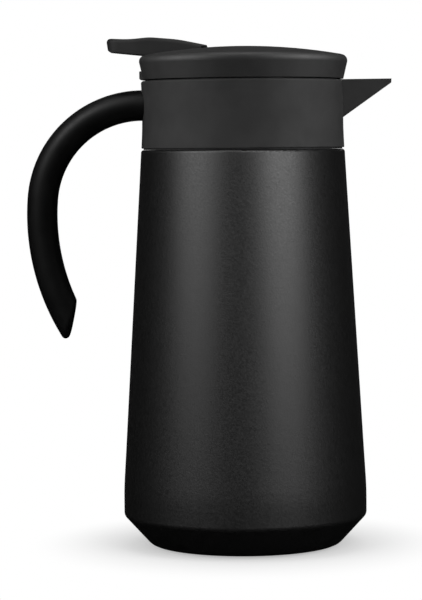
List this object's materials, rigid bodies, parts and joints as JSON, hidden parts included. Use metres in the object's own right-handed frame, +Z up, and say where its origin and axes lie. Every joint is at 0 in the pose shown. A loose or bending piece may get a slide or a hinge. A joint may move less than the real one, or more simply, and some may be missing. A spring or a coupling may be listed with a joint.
{
  "type": "thermal jug",
  "caption": "Tapered black vacuum jug with a chamfered foot, beak spout, open hook handle and a screw-in domed lid whose thumb lever lifts a sprung pouring valve.",
  "frame": {"origin": "on the jug's axis, on the underside of the foot pad", "axes": "+Z up along the jug's axis, +X towards the spout, -X towards the handle"},
  "size_m": [0.1722, 0.115, 0.2396],
  "materials": {
    "coated_steel": "satin black powder coat",
    "bare_steel": "satin",
    "small_steel": "plain",
    "charcoal_plastic": "fine matt grain",
    "black_plastic": "fine matt grain",
    "inner_plastic": "plain",
    "black_silicone": "matt",
    "clear_silicone": "translucent silicone",
    "pressed_powder": "sintered pill"
  },
  "bodies": {
    "vessel": {"outer_shell": "coated_steel", "base_plate": "coated_steel", "foot_pad": "black_silicone", "getter": "pressed_powder", "inner_liner": "bare_steel", "collar": "charcoal_plastic", "neck_seal": "clear_silicone", "handle": "black_plastic", "handle_screws": "small_steel"},
    "gasket": {"stopper_gasket": "clear_silicone"},
    "lid": {"stopper_body": "inner_plastic", "deck": "inner_plastic", "deck_seal": "clear_silicone", "lid_screws": "small_steel", "lid_cover": "charcoal_plastic", "lever_pin": "small_steel", "stem_seal": "clear_silicone", "valve_spring": "small_steel"},
    "lever": {"thumb_lever": "charcoal_plastic"},
    "valve": {"valve_stem": "inner_plastic", "stem_cap": "inner_plastic", "valve_disc": "inner_plastic", "valve_seal": "clear_silicone", "valve_screw": "small_steel"}
  },
  "joints": [
    {"name": "lid_lift", "type": "slide", "parent": "vessel", "child": "gasket", "axis": [0, 0, 1], "range_m": [0, 0.045]},
    {"name": "lid_turn", "type": "hinge", "parent": "gasket", "child": "lid", "pos_m": [0, 0, 0.2199], "axis": [0, 0, 1], "range_deg": [0, 120]},
    {"name": "lever_press", "type": "hinge", "parent": "lid", "child": "lever", "pos_m": [-0.036, 0, 0.2285], "axis": [0, -1, 0], "range_deg": [0, 9], "stiffness_Nm_per_rad": 0.5, "springref_deg": -8.02},
    {"name": "valve_lift", "type": "slide", "parent": "lid", "child": "valve", "axis": [0, 0, 1], "range_m": [0, 0.006], "deforming": ["valve_spring"]}
  ],
  "couplings": [
    {"joint": "valve_lift", "follows": "lever_press", "m_per_rad": 0.036}
  ]
}
